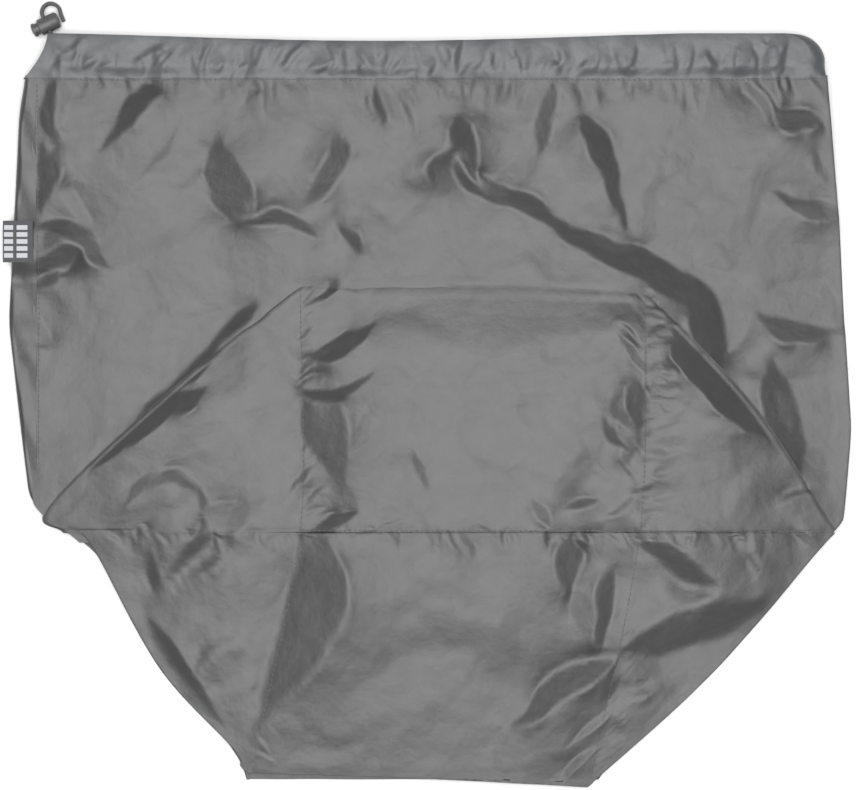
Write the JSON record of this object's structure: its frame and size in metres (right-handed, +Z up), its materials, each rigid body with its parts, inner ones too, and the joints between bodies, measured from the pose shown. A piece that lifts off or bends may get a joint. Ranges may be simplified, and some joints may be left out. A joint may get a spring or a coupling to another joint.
{
  "type": "laundry bag",
  "caption": "Flat-folded drawstring laundry bag in dark satin nylon, boxed base turned uppermost, cord lock at one mouth corner, side label.",
  "frame": {"origin": "on the surface the bag lies on, under the middle of the flat bag", "axes": "+X to the right with the base facing up (bag's width), +Y towards the mouth, +Z up through the folded layers"},
  "size_m": [0.5116, 0.4703, 0.016],
  "materials": {
    "nylon": "satin",
    "nylon_hem": "satin",
    "cord": "braided, matt",
    "thread": "spun thread, matt",
    "lock_plastic": "moulded, fine grain",
    "spring_steel": "bright wire",
    "label_tape": "woven tape with pale bars"
  },
  "bodies": {
    "bag": {"back_panel": "nylon", "front_panel": "nylon", "casing_front": "nylon_hem", "casing_back": "nylon_hem", "drawcord": "cord", "cord_tail_front": "cord", "cord_tail_back": "cord", "casing_stitch_front": "thread", "casing_stitch_back": "thread", "left_side_seam": "thread", "right_side_seam": "thread", "base_seam": "thread", "left_corner_seam": "thread", "right_corner_seam": "thread", "exit_bartack": "thread"},
    "lock": {"lock_barrel": "lock_plastic", "lock_spring": "spring_steel"},
    "plunger": {"lock_plunger": "lock_plastic"},
    "label": {"side_label": "label_tape"}
  },
  "joints": [
    {"name": "lock_slide", "type": "slide", "parent": "bag", "child": "lock", "axis": [-0.4226, 0.9063, 0], "range_m": [-0.002, 0.0006]},
    {"name": "lock_press", "type": "slide", "parent": "lock", "child": "plunger", "axis": [0.9063, 0.4226, 0], "range_m": [0, 0.0022], "stiffness_N_per_m": 300, "springref_m": -0.002, "deforming": ["lock_spring"]},
    {"name": "label_flip", "type": "hinge", "parent": "bag", "child": "label", "pos_m": [-0.2383, 0.1005, 0.0101], "axis": [0, 1, 0], "range_deg": [0, 150]}
  ]
}
